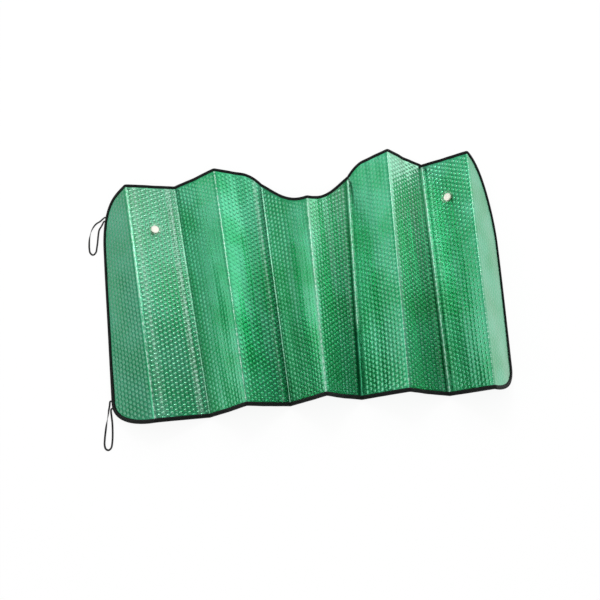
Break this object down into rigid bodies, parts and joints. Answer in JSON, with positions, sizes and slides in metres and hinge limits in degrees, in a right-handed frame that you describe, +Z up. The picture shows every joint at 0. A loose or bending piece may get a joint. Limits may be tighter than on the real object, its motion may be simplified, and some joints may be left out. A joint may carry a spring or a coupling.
{
  "type": "car windscreen sunshade",
  "caption": "Folding windscreen sunshade of green metallised bubble film with black edge tape, a mirror notch, two elastic loops and two clear suction cups, opened part way.",
  "frame": {"origin": "on the ground, under the middle of the shade's box without its elastic loops", "axes": "+X across the folds, from the edge with the loops to the other; +Y towards the notched top edge; +Z up, out of the film's green face"},
  "size_m": [1.0243, 0.6657, 0.1113],
  "materials": {
    "film": "green metallised polyethylene bubble film, bright and slightly wrinkled",
    "tape": "black woven polypropylene binding tape, matt",
    "elastic": "black braided elastic, matt",
    "cup": "clear soft vinyl, smooth"
  },
  "bodies": {
    "root": {"shade_panel": "film", "edge_binding": "tape", "upper_elastic_loop": "elastic", "lower_elastic_loop": "elastic", "left_suction_cup": "cup", "right_suction_cup": "cup"}
  },
  "joints": []
}
